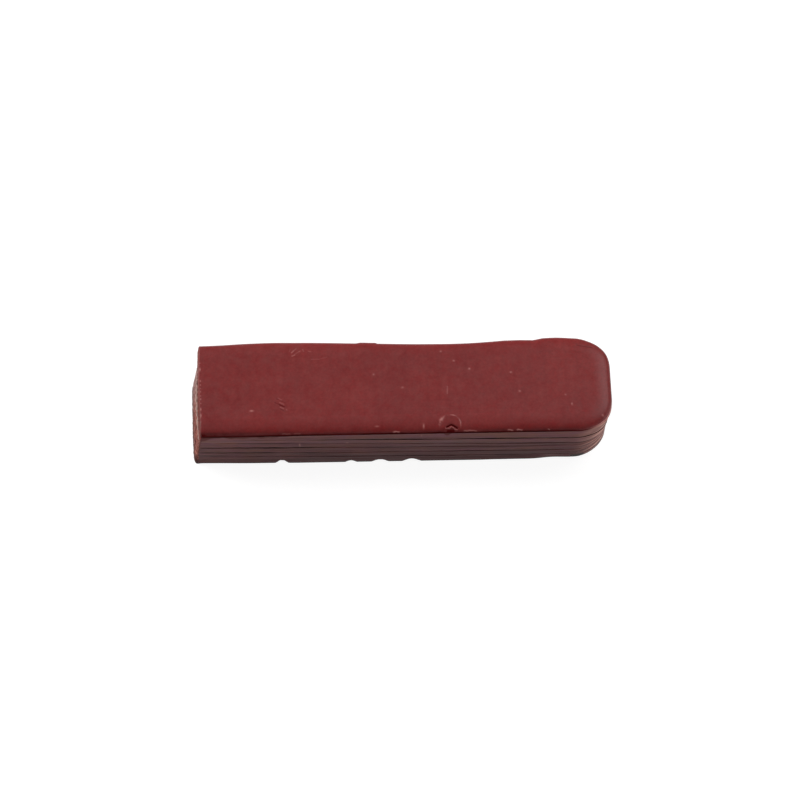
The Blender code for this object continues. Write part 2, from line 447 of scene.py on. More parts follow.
def set_base_down(points):
    """Spreads the base's front to a straight foot, with a crumb of wax hanging at the corner of the cut."""
    x, y, z = points.T / MM
    front = (1 - eased(-9, -7.5, y)) * (1 - eased(26, 33, x)) * (1 - eased(0.5, 1.4, z))
    crumb = near(from_cut(points) - 0.4, 0.5) * near(z, 1.0)
    moved = points.copy()
    moved[:, 1] -= front * MM * (0.07 + 0.05 * eased(-18, -12, x) + 0.25 * crumb)
    moved[:, 1] = np.maximum(moved[:, 1], -BOX[1])
    return moved


def foot_shade(points):
    """Painted contact shade, with some dirt, along the base's foot: most on the cut and under the front
    corner of the nose.
    """
    x, y, z = points.T / MM
    cut = 1 - eased(0.8, 1.2, from_cut(points) / np.where(y > 0, 1.1, 0.6))
    corner = eased(32, 32.8, x) * (1 - eased(34.5, 35.5, x)) * (y < 0)
    reach = 0.5 + 2.1 * cut + 1.0 * corner
    strength = 0.65 + 0.25 * cut + 0.35 * corner
    return strength * (1 - eased(0.4 * reach, reach, z))


def side_pale(points):
    """Pale wax on a side: fine lines at the front of the nose, partly wear and partly painted highlight, and
    the ticks.
    """
    x, y, z = points.T / MM
    # Pale lines at the front of the nose: partly worn wax, partly a painted highlight where the nose turns to
    # the light
    pale = eased(32, 38, x) * (1 - eased(-7.8, -2, y))
    pale *= 0.85 - 0.28 * eased(6, 9, z) + 0.4 * eased(36.2, 38.6, x)
    pale *= np.clip(0.6 + 1.6 * uneven(points, (6, 6, 0.5), 58), 0, 1.4)
    for place, height, half_width, half_height, strength in TICKS:
        tick = near(x - place, half_width) * near(z - height, half_height)
        pale = np.maximum(pale, strength * tick * (y < FRONT_SIDE))
    return pale


def side_smear(points):
    """Red wax on the front side: dragged along by the knife, and run down from the rim and the bubble."""
    x, y, z = points.T / MM
    reach = read_off(DRAGGED_RED, z)
    dragged = 1 - eased(0.7 * reach, 1.3 * reach, from_cut(points))
    run = read_off(RUN_RED, x) * (1 + 1.2 * uneven(points, (2, EVEN, EVEN), 57))
    run = np.maximum(run, near(x - BUBBLE[0] + 0.55, 0.5))
    below_rim = RIM_HEIGHT / MM - 0.2 - z
    return (y < FRONT_SIDE) * np.maximum(dragged, 1 - eased(0.6 * run, 1.1 * run + 0.01, below_rim))


def side_paints(points, dark):
    """The paints of a row of a side, with this much painted shade and dirt of its seam."""
    return np.column_stack((side_pale(points), dark, side_smear(points), np.zeros(AROUND)))


def corner_swell(start, middle, half, height):
    """A swelling at the corner of the nose that starts at this point of a ring, in shares of its turn."""
    turn = (np.arange(AROUND) - start) / CORNER_STEPS
    return height * np.clip(1 - ((turn - middle) / half) ** 2, 0, 1) ** 2


# How far the crown stands out at the corners of its nose, which are squarer than round ones, and how far the
# lowest layers are drawn in at the front one, where the bar was pressed out of its mould
FRONT_SWELL = corner_swell(FRONT_STEPS, 0.60, 0.34, 0.22)
BACK_SWELL = corner_swell(FRONT_STEPS + CORNER_STEPS + NOSE_STEPS, 0.35, 0.35, 0.16)
FRONT_TUCK = corner_swell(FRONT_STEPS, 0.42, 0.40, 0.12)
# How much of the front swelling the sides have, by the number of layers below, and how much of the tuck
LAYER_SWELLS = ((2, 0), (4, 0.5), (5, 1.2))
CROWN_SIDE_SWELL = 1.35
LAYER_TUCKS = (1, 0.7, 0.4, 0, 0)
# How far each layer's side is shifted out by uneven shrinking, from the base up
LAYER_SHIFTS = (0.0, 0.03, 0.02, -0.06, 0.0)
# How far the corners of the cut are worn round: the front one on each layer from the base up, the back one on
# these layers, and both on the crown
CUT_FRONT_ROUND = (1.2, 0.95, 0.7, 0.55, 0.5)
CUT_BACK_ROUND = 3.0
CROWN_CUT_ROUND = (0.4, 0.22)
# How deep grains break out of the cut
BASE_CRUMBLE = 0.14
LAYER_CRUMBLE = 0.22
CROWN_CRUMBLE = 0.10


def side_relief(points, layer, share, back):
    """How far a side under the crown stands out at this share of its height, worn back by this much."""
    ragged = uneven(points, (1.5, 1.5, EVEN), 42 + layer)
    out = 0.06 * uneven(points, (14, 14, 0.25), 31 + layer) + 0.10 * uneven(points, (9, 9, 5), 41)
    out += 0.4 * back * ragged - back - 0.05 + LAYER_SHIFTS[layer]
    if layer == CROWN - 1:
        out += 0.2 * share
    out += read_off(LAYER_SWELLS, layer + share) * FRONT_SWELL
    return out - LAYER_TUCKS[layer] * FRONT_TUCK


def layer_rings(layer):
    """Rows of points up the side of one of the five layers under the crown, with their paints."""
    inset, low, high = levels()[layer]
    bulge = FRONT_BULGE * (1 - low[0] / RIM_HEIGHT)
    rings = []
    paints = []
    for share, step, back, shade_and_dirt in side_rows(SIDE_SHARES if layer else BASE_SHARES):
        middle = low[0] + (high[0] - low[0]) * share + step
        slope = low[1] + (high[1] - low[1]) * share
        points = ring(inset, NOSE_OVERHANG, middle, slope, bulge)
        seam = layer if share > 0.5 else max(layer - 1, 0)
        back *= SEAM_WEAR[seam]
        if layer == 0 and share < 0.5:
            back *= 0.3
            shade_and_dirt *= 0.5
        points = push_sides(points, side_relief(points, layer, share, back))
        # Painted shade and dirt of the seam darken the worn edge
        dark = shade_and_dirt * seam_shade_and_dirt(points, seam)
        if layer > 0:
            points[:, 2] += (seam_wave(points, layer - 1) - seam_closing(points, layer - 1)) * (1 - share)
        points[:, 2] += (seam_wave(points, layer) + seam_closing(points, layer)) * share
        if layer == 0:
            points = chip_base(points)
        paint = side_paints(points, dark)
        points = round_cut(points, CUT_FRONT_ROUND[layer], CUT_BACK_ROUND)
        points = crumble_cut(points, LAYER_CRUMBLE if layer else BASE_CRUMBLE)
        if layer == 0:
            points = set_base_down(points)
            # Painted contact shade, with some dirt, at the base's foot
            add_paint(paint, DARK, foot_shade(points))
        points[:, 2] = np.maximum(points[:, 2], 0)
        rings.append(points)
        paints.append(paint)
    return rings, paints


# The crack under the crown's rim: steps in from the side and up from the rim, and how dark it is painted,
# with shade and dirt
RIM_CRACK = (
    (0.0, -0.20, 0.0), (0.02, -0.15, 0.3), (0.06, -0.24, 0.9), (0.12, -0.42, 1.0), (0.20, -0.50, 1.0),
    (0.28, -0.44, 1.0), (0.29, -0.30, 1.0), (0.22, -0.14, 1.0), (0.14, -0.04, 0.9), (0.10, 0.04, 0.7),
)
# Where it gapes most: place along the bar and half length
RIM_GAPES = (
    (-34.0, 3.0), (-29.0, 1.0), (-26.4, 0.6), (-23.4, 1.0), (-19.5, 0.8), (1.0, 4.0), (9.5, 0.9), (17.5, 2.0),
)
# Pale flakes that curl up from the rim's front: place along the bar, half length, strength
RIM_FLAKES = (
    (-21.3, 0.9, 0.3), (-19.2, 0.7, 0.25), (-0.7, 0.7, 0.8), (13.1, 1.4, 0.55), (20.6, 0.6, 0.75),
    (22.3, 0.65, 0.75), (27.8, 0.25, 0.8),
)
RIM_WANDER = 0.10
SHOULDER_STEPS = 20
SHOULDER_POWER = 0.92  # under 1, the shoulder turns down later than a quarter of an ellipse
# How many steps up the shoulder the rim's wandering and its fin reach
WANDER_STEPS = 7
FIN_STEPS = 9


def rim_gape(points):
    """How far the crack under the rim stands open: unevenly, less at the back, and hardly at the nose."""
    x, y = points.T[:2] / MM
    gape = 0.65 + 0.9 * uneven(points, (3, 3, EVEN), 51)
    for place, reach in RIM_GAPES:
        gape += 0.5 * near(x - place, reach)
    gape *= 1 - 0.8 * eased(28, 37, x)
    gape *= 1 - 0.5 * eased(-2, 4, y)
    return np.clip(gape, 0.1, 1.1) * eased(0.05, 0.4, from_cut(points))


def rim_flake(points, above):
    """Skin that curls up from the rim: how pale its edge is this far above the lip, and the gap's shade."""
    x, y = points.T[:2] / MM
    pale = np.zeros(AROUND)
    shade = np.zeros(AROUND)
    ragged = uneven(points, (0.6, 0.6, EVEN), 54)
    for place, half_length, strength in RIM_FLAKES:
        arch = np.clip(1 - ((x - place) / half_length) ** 2, 0, 1) * (y < -7)
        edge = 0.14 + (0.16 + 0.2 * ragged) * np.sqrt(arch)
        shown = strength * eased(0.0, 0.4, arch)
        pale = np.maximum(pale, shown * near(above - edge, 0.09))
        shade = np.maximum(shade, 0.85 * shown * eased(0.05, 0.15, edge - above))
    return pale, shade


def rim_fin(points):
    """A thin fin of wax on the back edge, near the middle of the bar."""
    x, y = points.T[:2] / MM
    return 0.22 * (eased(-8.2, -7.2, x) - eased(-4.4, -3.9, x)) * (y > 5)


def rim_shade_and_grime(points, inward):
    """Painted shade on the shoulder this far in, with some dark wax rubbed in: on the front, most at the lip,
    and a little behind.
    """
    x, y = points.T[:2] / MM
    left = 1 - eased(-30, -26, x)
    amount = 0.30 + 0.30 * left + 0.4 * uneven(points, (5, EVEN, EVEN), 55)
    amount += 0.3 * uneven(points, (1.2, EVEN, EVEN), 56)
    amount = np.clip(amount, 0, 0.8) * near(inward, 0.32 + 0.25 * left)
    amount = np.maximum(amount, 0.75 * near(inward, 0.1)) * (1 - 0.8 * eased(31, 38, x))
    back = 0.45 * near(inward, 0.2) * (1 - eased(30, 36, x))
    return np.where(y < -4, amount, back * (y > 7))


def rim_wave(points):
    """How the rim wanders, most of all along the front."""
    x, y = points.T[:2] / MM
    wave = uneven(points, (3, 3, EVEN), 52) + 0.6 * uneven(points, (0.9, 0.9, EVEN), 53)
    droop = 2.2 * (1 - eased(-30, -14, x))
    return RIM_WANDER * (wave - droop) * (0.3 + 0.7 * (1 - eased(-6, 0, y)))


def drag_burr(points, paint, up):
    """The knife's burr: the crown's lower edge dragged out over the cut, ragged, and palest in its middle,
    with painted shade in the gap under it.
    """
    share = np.clip((np.arange(AROUND) - SIDE_STEPS) / CUT_STEPS, 0, 1)
    ragged = uneven(points, (0.9, 0.9, EVEN), 91)
    edge = near(up, 0.05)
    hang = np.sin(np.pi * share) ** 0.3 * (0.3 + 0.7 * eased(0.25, 0.45, share))
    points[:, 0] -= MM * edge * hang * (0.42 + 0.25 * ragged)
    fleck = near(share - 0.14, 0.05)
    bright = np.maximum(eased(0.3, 0.42, share), fleck) * np.clip(1.1 - 0.4 * share + 0.7 * ragged, 0, 1)
    add_paint(paint, PALE, eased(0.5, 0.9, edge) * bright)
    # Painted shade in the gap under the burr
    gap = near(up - 0.1, 0.07) * (share > 0) * (share < 1)
    add_paint(paint, DARK, gap * np.clip(0.8 - 0.4 * share + 0.5 * ragged, 0, 1))


def crown_side():
    """Rows up the crown's side, from its seam to the edge of the crack under the rim."""
    inset, low, _ = levels()[CROWN]
    top = RIM_HEIGHT + RIM_CRACK[0][1] * MM
    for share, step, back, shade_and_dirt in side_rows(CROWN_SHARES)[:-len(WORN_EDGE)]:
        middle = low[0] + (top - low[0]) * share + step
        points = ring(inset, NOSE_UNDERCUT * (1 - share), middle, low[1] * (1 - share))
        streak = uneven(points, (14, 14, 0.25), 36)
        swell = CROWN_SIDE_SWELL * FRONT_SWELL + BACK_SWELL
        points = push_sides(points, 0.05 * streak - back - 0.03 + swell)
        # Painted shade and dirt of the seam under the crown darken its worn edge
        dark = shade_and_dirt * seam_shade_and_dirt(points, CROWN_SEAM)
        points[:, 2] += (seam_wave(points, CROWN_SEAM) - seam_closing(points, CROWN_SEAM)) * (1 - share)
        paint = side_paints(points, dark)
        drag_burr(points, paint, (middle - low[0]) / MM)
        yield points, paint


def crown_crack():
    """Rows over the edge of the side, into the crack, and out to the lip of the red skin."""
    first_in, first_up, _ = RIM_CRACK[0]
    last_in, last_up, _ = RIM_CRACK[-1]
    for number, (step_in, step_up, shade_and_dirt) in enumerate(RIM_CRACK):
        points = ring(0.0, 0.0, RIM_HEIGHT, 0.0)
        share = number / (len(RIM_CRACK) - 1)
        shut_in = first_in + (last_in - first_in) * share
        shut_up = first_up + (last_up - first_up) * share
        gape = rim_gape(points)
        wave = rim_wave(points)
        swell = (CROWN_SIDE_SWELL + (1 - CROWN_SIDE_SWELL) * share) * FRONT_SWELL + BACK_SWELL
        points = push_sides(points, swell - shut_in - gape * (step_in - shut_in))
        points[:, 2] += MM * (shut_up + gape * (step_up - shut_up) + wave)
        x, y = points.T[:2] / MM
        least = 0.8 * (1 - eased(-6, 0, y)) * (1 - eased(33, 39, x))
        # The crack is painted dark with its shade and some dirt, and stays dark at the front
        paint = side_paints(points, shade_and_dirt * np.clip(1.2 * gape, least, 1))
        paint[:, SKIN] = number > 1
        yield points, paint


def crown_shoulder():
    """Rows over the rounded shoulder, from the lip to the flat of the top."""
    lip_in, lip_up, _ = RIM_CRACK[-1]
    for step in range(1, SHOULDER_STEPS + 1):
        turn = math.pi / 2 * step / SHOULDER_STEPS
        inset = lip_in * MM + (CROWN_SHOULDER - lip_in * MM) * (1 - math.cos(turn) ** SHOULDER_POWER)
        rise = lip_up * MM + (CROWN_RISE - lip_up * MM) * math.sin(turn) ** SHOULDER_POWER
        points = ring(inset, 0.0, RIM_HEIGHT + rise, 0.0)
        wave = rim_wave(points) * max(0, 1 - step / WANDER_STEPS)
        fin = rim_fin(points) * max(0, 1 - step / FIN_STEPS)
        swell = (FRONT_SWELL + BACK_SWELL) * (1 - step / SHOULDER_STEPS)
        # How far above the lip the camera sees this row
        above = 0.88 * (inset / MM - lip_in) + 0.48 * (rise / MM - lip_up)
        flake, shade = rim_flake(points, above)
        points = push_sides(points, 0.06 * flake + fin + swell)
        points[:, 2] += MM * (wave + 0.08 * flake - 0.05 * shade)
        paint = np.zeros((AROUND, len(PAINTS)))
        paint[:, PALE] = flake
        # Painted shade at the rim and under the curled flakes, with some dirt
        paint[:, DARK] = np.maximum(rim_shade_and_grime(points, inset / MM - lip_in), shade) * (1 - flake)
        paint[:, SKIN] = 1
        yield points, paint


def make_layer(layer):
    name = LAYERS[layer][0]
    rings, paints = layer_rings(layer)
    piece, row, _ = wall(name + "_wax", rings, paints)
    close_end(piece, row, 0)
    close_end(piece, row, len(rings) - 1)
    faces_outwards()
    finish_piece(piece, name)
    return piece


def make_crown():
    rings = []
    paints = []
    for points, paint in (*crown_side(), *crown_crack(), *crown_shoulder()):
        rings.append(crumble_cut(round_cut(points, *CROWN_CUT_ROUND), CROWN_CRUMBLE))
        paints.append(paint)
    piece, row, place = wall("top_layer_wax", rings, paints)
    close_end(piece, row, 0)
    close_with_grid(piece, row, place, len(rings) - 1)
    refine_marks(piece)
    work_crown(piece)
    faces_outwards()
    finish_piece(piece, "top_layer")
    return piece


def finish_piece(piece, node):
    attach(piece, "root")
    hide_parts(node)


# Pale grains in the skin: place along and across the bar, half length, half width, strength
SPECKS = (
    (-27.75, -5.3, 0.35, 0.18, 0.55), (-4.8, 2.1, 0.2, 0.2, 0.3), (-4.3, -8.9, 0.35, 0.15, 0.4),
    (0.6, -0.8, 0.25, 0.2, 0.25), (4.4, -9.0, 0.15, 0.4, 0.6), (8.0, 6.9, 0.2, 0.2, 0.35),
    (10.4, 4.8, 0.2, 0.2, 0.4), (13.3, 3.0, 0.2, 0.2, 0.45), (21.1, 2.1, 0.2, 0.2, 0.4),
    (22.6, -2.0, 0.22, 0.2, 0.35), (31.2, -2.9, 0.2, 0.2, 0.25), (32.3, -4.9, 0.15, 0.25, 0.4),
    (38.0, -7.3, 0.2, 0.2, 0.45), (-37.2, -6.1, 0.12, 0.35, 0.45),
)
# Scratches: from, to, half width, depth, how pale and how dark
SCRATCHES = (
    ((-23.2, -2.85), (-22.7, -3.05), 0.09, 0.03, 0.0, 0.25),
    ((-22.7, -2.7), (-22.15, -3.05), 0.10, 0.0, 0.14, 0.0),
    ((-22.2, -3.3), (-21.6, -3.65), 0.10, 0.03, 0.0, 0.35),
    ((-22.5, -3.6), (-21.75, -4.0), 0.11, 0.0, 0.17, 0.0),
    ((-23.4, -3.65), (-22.5, -4.1), 0.12, 0.05, 0.0, 0.40),
    ((-22.5, -4.1), (-21.6, -4.55), 0.13, 0.06, 0.0, 0.75),
    ((-22.4, -4.6), (-21.75, -4.9), 0.10, 0.0, 0.19, 0.0),
    ((-22.4, -5.0), (-21.75, -5.35), 0.11, 0.04, 0.0, 0.40),
    ((-21.25, -5.1), (-21.15, -5.2), 0.12, 0.0, 0.16, 0.0),
    ((-20.3, 7.1), (-19.9, 7.55), 0.10, 0.03, 0.28, 0.0),
    ((-19.9, 7.55), (-19.4, 8.1), 0.09, 0.02, 0.16, 0.0),
    ((-20.2, 6.4), (-19.7, 6.6), 0.11, 0.03, 0.28, 0.0),
    ((-19.75, 6.75), (-18.6, 7.5), 0.09, 0.02, 0.14, 0.0),
    ((-18.9, 7.35), (-18.7, 7.45), 0.10, 0.0, 0.24, 0.0),
    ((-18.2, 7.9), (-18.0, 7.4), 0.09, 0.02, 0.16, 0.0),
    ((-17.1, 7.4), (-16.7, 7.3), 0.10, 0.0, 0.18, 0.0),
    ((-20.5, 7.9), (-20.7, 7.4), 0.08, 0.0, 0.10, 0.0),
    ((-16.5, 5.65), (-15.0, 5.65), 0.10, 0.02, 0.10, 0.0),
    ((-15.0, 5.65), (-13.6, 6.05), 0.10, 0.0, 0.06, 0.0),
    ((9.1, -0.7), (9.0, -2.25), 0.10, 0.03, 0.10, 0.0),
    ((33.9, 7.7), (36.8, 7.2), 0.13, 0.06, 0.0, 0.45),
)
# The burst bubble on the front shoulder: its middle, its ring's radius, the torn skin and the lip under it
BUBBLE = (9.35, -8.8)
BUBBLE_RADIUS = 2.0
BUBBLE_TEAR = ((-0.62, -0.36), (-0.1, -0.09), (0.3, 0.0), (0.7, -0.2), (1.09, -0.46), (1.32, -0.62))
BUBBLE_LIP = ((-0.85, -0.61), (-0.11, -0.65), (0.23, -0.39), (0.56, -0.51), (0.95, -0.86), (1.35, -0.94))
# Grains dragged along the cut's upper edge, this far in: place across the bar, half length, strength
DASHES_IN = 0.1
CUT_DASHES = (
    (5.2, 0.12, 0.3), (3.8, 0.3, 0.65), (1.3, 0.18, 0.5), (0.45, 0.15, 0.45), (-0.3, 0.12, 0.3),
    (-1.0, 0.2, 0.3), (-1.9, 0.12, 0.4), (-2.6, 0.2, 0.5), (-3.5, 0.15, 0.3), (-4.75, 0.3, 0.55),
    (-5.8, 0.12, 0.2), (-7.4, 0.2, 0.12),
)


def line_distance(x, y, start, end):
    """How far places lie from a straight line between two others."""
    along = np.array(end) - np.array(start)
    share = np.clip(((x - start[0]) * along[0] + (y - start[1]) * along[1]) / (along @ along), 0, 1)
    return np.hypot(x - start[0] - share * along[0], y - start[1] - share * along[1])


def path_distance(x, y, path):
    return np.min([line_distance(x, y, start, end) for start, end in zip(path, path[1:])], axis=0)


def refine_marks(piece):
    """Cuts the faces finer at the bubble, grains, scratches and cut's edge, so that they hold thin lines."""
    mesh = piece.data
    centres = read(mesh.polygons, "center", 3)
    level = np.abs(read(mesh.polygons, "normal", 3)[:, 2]) > 0.4
    x, y, z = (centres / MM).T
    fine = np.hypot(x - BUBBLE[0], y - BUBBLE[1]) < BUBBLE_RADIUS + 0.4
    fine |= (np.abs(from_cut(centres) - DASHES_IN) < 0.35) & level
    for along, across, *_ in SPECKS:
        fine |= np.hypot(x - along, y - across) < 0.35
    for start, end, *_ in SCRATCHES:
        fine |= line_distance(x, y, start, end) < 0.25
    edit_only(mesh, "FACE", fine & (z > RIM_HEIGHT / MM + 0.06))
    bpy.ops.mesh.subdivide(number_cuts=2)
    bpy.ops.object.mode_set(mode="OBJECT")


def burst_bubble(x, y, z, paint):
    """A ring of pale torn skin, a shallow dish in it, and a tear with a pit below, painted dark as their
    shade.
    """
    points = np.column_stack((x, y, z)) * MM
    u = x - BUBBLE[0]
    v = y - BUBBLE[1]
    radius = np.hypot(u, v) + 0.12 * uneven(points, (0.5, 0.5, 9), 83)
    angle = np.degrees(np.arctan2(v, u)) % 360
    left = near(angle - 152, 28)
    top = near(angle - 76, 22)
    right = near(angle - 15, 24) + near(angle - 375, 24)
    lip = near(radius - BUBBLE_RADIUS + 0.12 * left, 0.09 + 0.2 * left)
    lip *= np.clip(0.8 + 1.3 * uneven(points, (0.4, 0.4, 9), 84), 0.2, 1.4)
    lift = 0.07 * lip * np.clip(left + top + right, 0, 1)
    dish = 0.06 * np.clip(1 - (radius / 1.9) ** 2, 0, 1)
    tear = near(path_distance(u, v, BUBBLE_TEAR), 0.16)
    torn_lip = near(path_distance(u, v, BUBBLE_LIP), 0.065)
    pit = np.exp(-((u - 0.1) / 0.95) ** 4) * near(v + 1.05, 0.4)
    smudge = near(u + 1.3, 0.6) * near(v + 0.95, 0.25)
    hollow = np.maximum(np.clip(1.3 * tear, 0, 1), np.maximum(0.9 * pit, 0.5 * smudge))
    add_paint(paint, PALE, lip * np.maximum(0.40 * left, 0.42 * np.maximum(top, right)))
    add_paint(paint, PALE, 0.45 * torn_lip)
    # Painted shade in the tear and the pit, and the dark smudge beside them
    add_paint(paint, DARK, hollow * (1 - torn_lip))
    return z + lift - dish - 0.22 * tear - 0.2 * pit + 0.08 * torn_lip


def dash_cut_edge(y, off, paint):
    """A dashed line of pale grains along the cut's upper edge."""
    for place, half_length, strength in CUT_DASHES:
        add_paint(paint, PALE, strength * near(off - DASHES_IN, 0.1) * near(y - place, half_length))


def work_crown(piece):
    """Works the crown's top: its slight unevenness, grains, scratches, the bubble and the cut's edge."""
    mesh = piece.data
    points = read(mesh.vertices, "co", 3)
    skin = points[:, 2] > RIM_HEIGHT + 0.08 * MM
    paint = np.hstack([read(mesh.attributes[name].data, "value", 1) for name in PAINTS])
    top = paint[skin]
    x, y, z = (points[skin] / MM).T
    broad = np.clip(0.5 + uneven(points[skin], (11, 7, EVEN), 81), 0, 1)
    small = np.clip(0.5 + uneven(points[skin], (2.5, 2.5, EVEN), 82), 0, 1)
    z = z - eased(0.08, 0.4, z - RIM_HEIGHT / MM) * (0.05 * broad + 0.016 * small)
    for along, across, half_length, half_width, strength in SPECKS:
        grain = near(x - along, half_length) * near(y - across, half_width)
        add_paint(top, PALE, 0.8 * strength * grain)
        z = z + 0.03 * grain
    for start, end, half_width, depth, pale, dark in SCRATCHES:
        scratch = near(line_distance(x, y, start, end), half_width)
        add_paint(top, PALE, pale * scratch)
        add_paint(top, DARK, dark * scratch)
        z = z - depth * scratch
    z = burst_bubble(x, y, z, top)
    dash_cut_edge(y, from_cut(points[skin]), top)
    points[skin, 2] = np.minimum(z * MM, RIM_HEIGHT + CROWN_RISE)
    mesh.vertices.foreach_set("co", points.ravel())
    paint[skin] = top
    for number, name in enumerate(PAINTS):
        mesh.attributes[name].data.foreach_set("value", paint[:, number].copy())
    mesh.update()


def linear(code):
    """An sRGB hex colour as linear red, green and blue."""
    channels = [int(code[place:place + 2], 16) / 255 for place in (1, 3, 5)]
    return [c / 12.92 if c <= 0.04045 else ((c + 0.055) / 1.055) ** 2.4 for c in channels] + [1]


def add_node(tree, kind, inputs=None, **settings):
    """Adds one node, sets it, and fills its sockets from values or from other nodes' sockets."""
    node = tree.nodes.new("ShaderNode" + kind)
    for name, value in settings.items():
        setattr(node, name, value)
    for name, value in (inputs or {}).items():
        if isinstance(value, bpy.types.NodeSocket):
            tree.links.new(value, node.inputs[name])
        else:
            node.inputs[name].default_value = value
    return node


def wax_material(name, specular):
    """A new wax material, its nodes, its shader, and the place on the piece that its patterns follow."""
    material = bpy.data.materials.new(name)
    material.use_nodes = True
    shader = material.node_tree.nodes["Principled BSDF"]
    shader.inputs["IOR"].default_value = 1.45
    shader.inputs["Specular IOR Level"].default_value = specular
    place = add_node(material.node_tree, "TexCoord").outputs["Object"]
    return material, material.node_tree, shader, place


def lay_on(tree, shader, colour, relief, strength, depth):
    """Gives a wax its colour, and a relief that the light sees this deep."""
    tree.links.new(colour, shader.inputs["Base Color"])
    bump = add_node(tree, "Bump", {"Height": relief, "Strength": strength, "Distance": depth})
    tree.links.new(bump.outputs["Normal"], shader.inputs["Normal"])


def lumpy(tree, lumps, low, high):
    """A value that wanders between these two, in lumps that a noise with these sockets gives."""
    noise_node = add_node(tree, "TexNoise", lumps)
    spread = add_node(tree, "MapRange", {"Value": noise_node.outputs["Fac"], "From Min": 0.3, "From Max": 0.7,
                                         "To Min": low, "To Max": high})
    return spread.outputs["Result"]


def painted(tree, colour, paint, code):
    """A colour with another one laid over it where a paint is."""
    amount = add_node(tree, "Attribute", attribute_name=paint)
    mix = add_node(tree, "MixRGB", {"Fac": amount.outputs["Fac"], "Color1": colour, "Color2": linear(code)})
    return mix.outputs["Color"]


def cast_wax_skin(name, specular):
    """Pigmented hard wax, poured and set: a satin red skin with faint lumps and wiping streaks."""
    material, tree, shader, place = wax_material(name, specular)
    # Pigment that set unevenly, in clouds about 9 mm wide
    clouds = add_node(tree, "TexNoise", {"Vector": place, "Scale": 1000 / 9, "Detail": 3.0})
    colour = add_node(tree, "MixRGB", {"Fac": clouds.outputs["Fac"], "Color1": linear("#6D1C1E"),
                                       "Color2": linear("#822221")})
    # Wiping across the bar, in streaks about 1 mm wide, and pigment grain of about 0.4 mm
    wiping = add_node(tree, "Mapping", {"Vector": place, "Scale": (1000 / 1.0, 1000 / 14, 1000 / 14)})
    streaks = lumpy(tree, {"Vector": wiping.outputs["Vector"], "Scale": 1.0, "Detail": 3.0}, 0.96, 1.04)
    flecks = lumpy(tree, {"Vector": place, "Scale": 1000 / 0.4, "Detail": 2.0}, 0.89, 1.11)
    for shade in (streaks, flecks):
        colour = add_node(tree, "MixRGB", {"Fac": 1.0, "Color1": colour.outputs["Color"], "Color2": shade},
                          blend_type="MULTIPLY")
    # Dust of pale pigment, gathered in patches about 2 mm wide with finer ones in them
    dust = lumpy(tree, {"Vector": place, "Scale": 1000 / 2.0, "Detail": 4.0, "Roughness": 0.75}, 0.0, 0.09)
    colour = add_node(tree, "MixRGB", {"Fac": dust, "Color1": colour.outputs["Color"],
                                       "Color2": linear("#94706C")})
    colour = painted(tree, colour.outputs["Color"], "pale", "#D6908A")
    # Dark paint: dark scratches and dirt, and painted shade at the rim, in the crack under it and in the
    # bubble's tear
    colour = painted(tree, colour, "dark", "#4E0306")
    # Satin, a little duller and glossier in patches about 4 mm wide, and dull where the dark paint of dirt
    # and painted shade lies
    gloss = lumpy(tree, {"Vector": place, "Scale": 1000 / 4, "Detail": 3.0}, 0.34, 0.42)
    shade_and_dirt = add_node(tree, "Attribute", attribute_name="dark")
    dull = add_node(tree, "Math", {0: shade_and_dirt.outputs["Fac"], 1: 0.6, 2: gloss}, operation="MULTIPLY_ADD")
    tree.links.new(dull.outputs[0], shader.inputs["Roughness"])
    # A skin that isn't quite smooth: grain of about 0.6 mm
    grain = add_node(tree, "TexNoise", {"Vector": place, "Scale": 1000 / 0.6, "Detail": 2.0})
    lay_on(tree, shader, colour, grain.outputs["Fac"], 0.25, 0.04 * MM)
    return material


